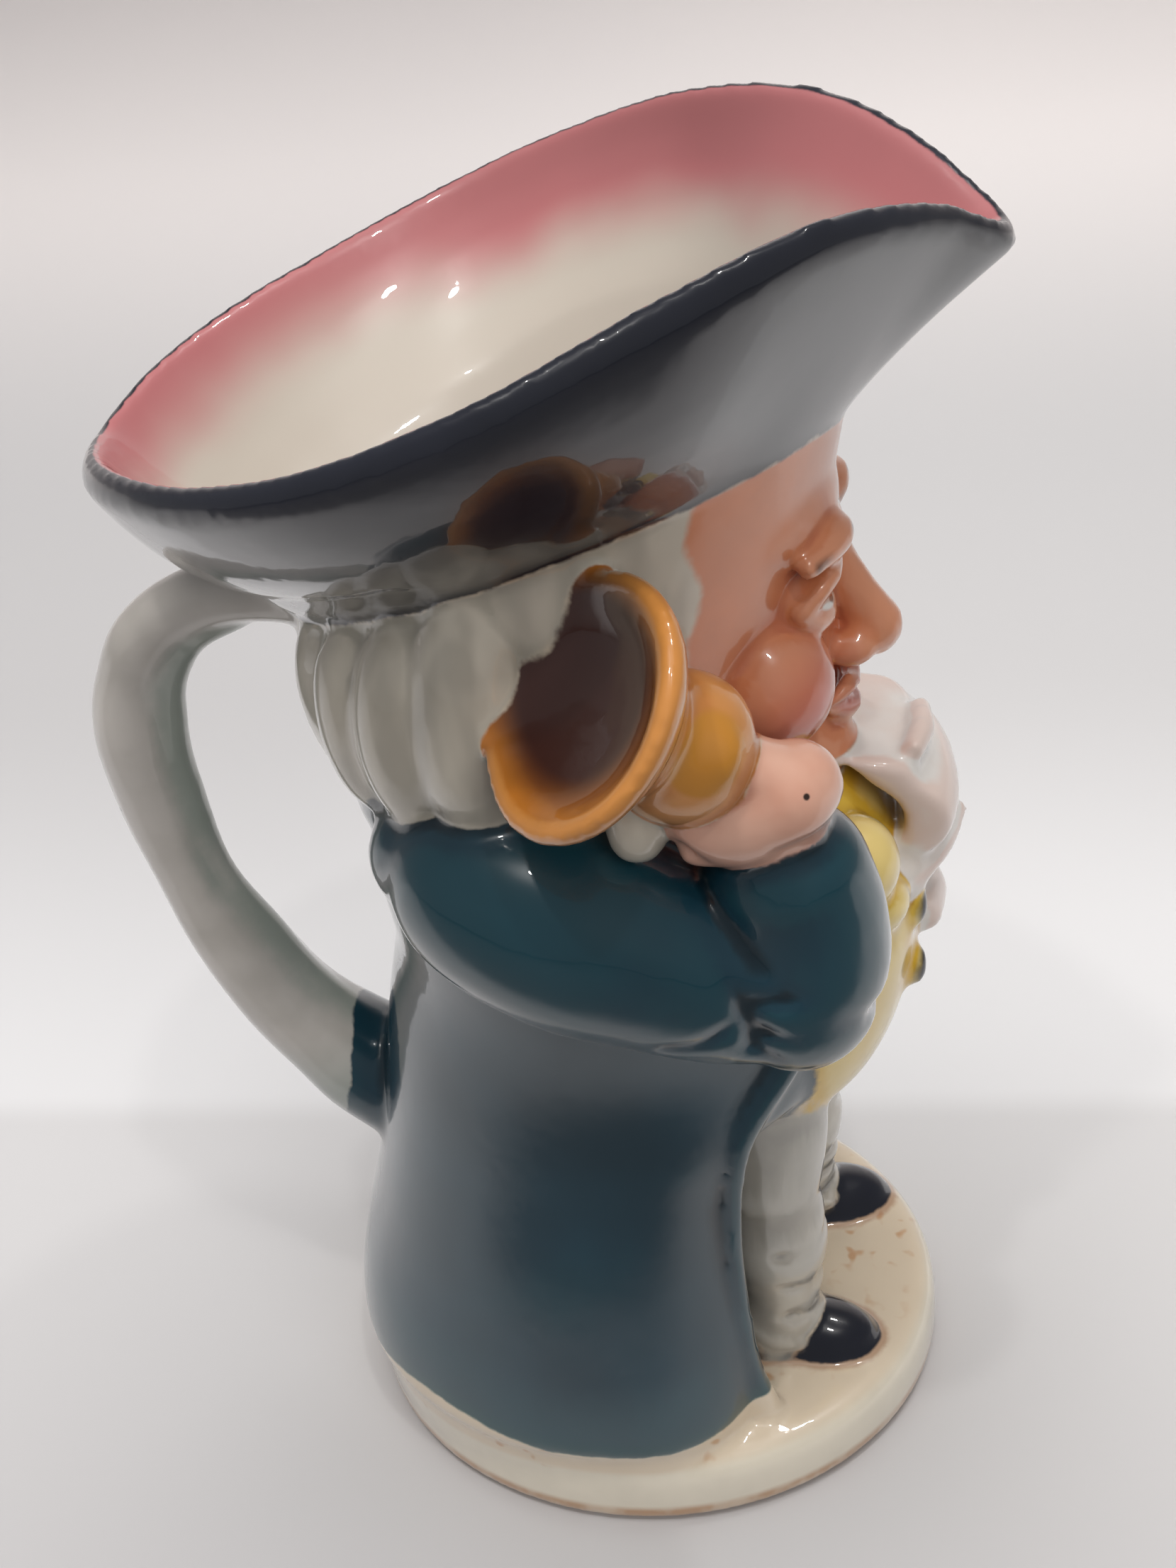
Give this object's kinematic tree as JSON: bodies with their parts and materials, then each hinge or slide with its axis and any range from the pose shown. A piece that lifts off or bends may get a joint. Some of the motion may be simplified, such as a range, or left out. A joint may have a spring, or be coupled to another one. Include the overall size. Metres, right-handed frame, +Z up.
{
  "type": "toby jug",
  "caption": "Glazed earthenware jug in the shape of a stout standing town crier, his cocked hat open as the mouth and spout, with a hand bell, a parchment and a loop handle behind.",
  "frame": {"origin": "centre of the oval base on its flat underside", "axes": "+Z up, the figure faces -Y, the handle is at +Y and the bell is on the figure's right at -X"},
  "size_m": [0.09, 0.1035, 0.1581],
  "materials": {
    "painted_glaze": "hand-painted cream earthenware under a thick clear gloss glaze; teal coat, charcoal hat, rose-lined mouth"
  },
  "bodies": {
    "root": {"toby_jug": "painted_glaze"}
  },
  "joints": []
}
